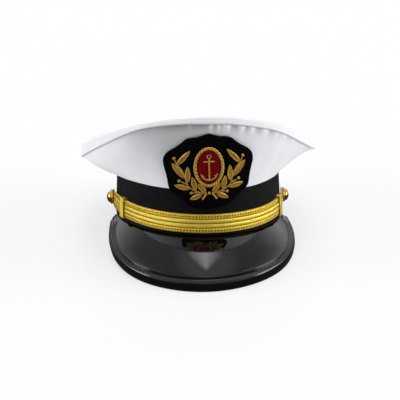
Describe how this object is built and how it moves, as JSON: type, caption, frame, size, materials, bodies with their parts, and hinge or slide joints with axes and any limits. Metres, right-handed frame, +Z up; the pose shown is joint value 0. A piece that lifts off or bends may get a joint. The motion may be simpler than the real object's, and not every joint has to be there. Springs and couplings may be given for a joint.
{
  "type": "officer cap",
  "caption": "Peaked officer cap: wide white cloth crown, black cloth band, glossy black peak, gold lace chin strap on side buttons, and an embroidered wreath badge with a plain anchor.",
  "frame": {"origin": "on the surface the cap rests on, below the centre of its bounding box", "axes": "+Z up, the badge and peak face -Y, +X is the wearer's left; the cap rests on its peak and the back of its band, so the band is tipped back about 11 degrees"},
  "size_m": [0.2434, 0.2868, 0.1606],
  "materials": {
    "white_cloth": "fine white twill with a soft sheen",
    "black_cloth": "black ribbed cloth and felt",
    "red_cloth": "dark red velvet",
    "patent_leather": "high gloss black patent",
    "gold_lace": "woven metallic gold lace",
    "gold_bullion": "padded metallic thread embroidery",
    "gold_metal": "polished gilt"
  },
  "bodies": {
    "root": {"band": "black_cloth", "crown_front": "white_cloth", "crown_back": "white_cloth", "crown_top": "white_cloth", "peak": "patent_leather", "peak_binding": "patent_leather", "strap_left": "gold_lace", "strap_right": "gold_lace", "keeper_left": "gold_lace", "keeper_right": "gold_lace", "button_left": "gold_metal", "button_right": "gold_metal", "badge_patch": "black_cloth", "badge_field": "red_cloth", "badge_rope": "gold_bullion", "badge_anchor": "gold_bullion", "badge_tie": "gold_bullion", "stem_left": "gold_bullion", "stem_right": "gold_bullion", "leaf_crest_left": "gold_bullion", "leaf_outer_high_left": "gold_bullion", "leaf_inner_high_left": "gold_bullion", "leaf_outer_low_left": "gold_bullion", "leaf_inner_low_left": "gold_bullion", "leaf_foot_inner_left": "gold_bullion", "leaf_foot_outer_left": "gold_bullion", "leaf_crest_right": "gold_bullion", "leaf_outer_high_right": "gold_bullion", "leaf_inner_high_right": "gold_bullion", "leaf_outer_low_right": "gold_bullion", "leaf_inner_low_right": "gold_bullion", "leaf_foot_inner_right": "gold_bullion", "leaf_foot_outer_right": "gold_bullion", "berry_high_left": "gold_bullion", "berry_middle_left": "gold_bullion", "berry_low_left": "gold_bullion", "berry_high_right": "gold_bullion", "berry_middle_right": "gold_bullion", "berry_low_right": "gold_bullion"}
  },
  "joints": []
}
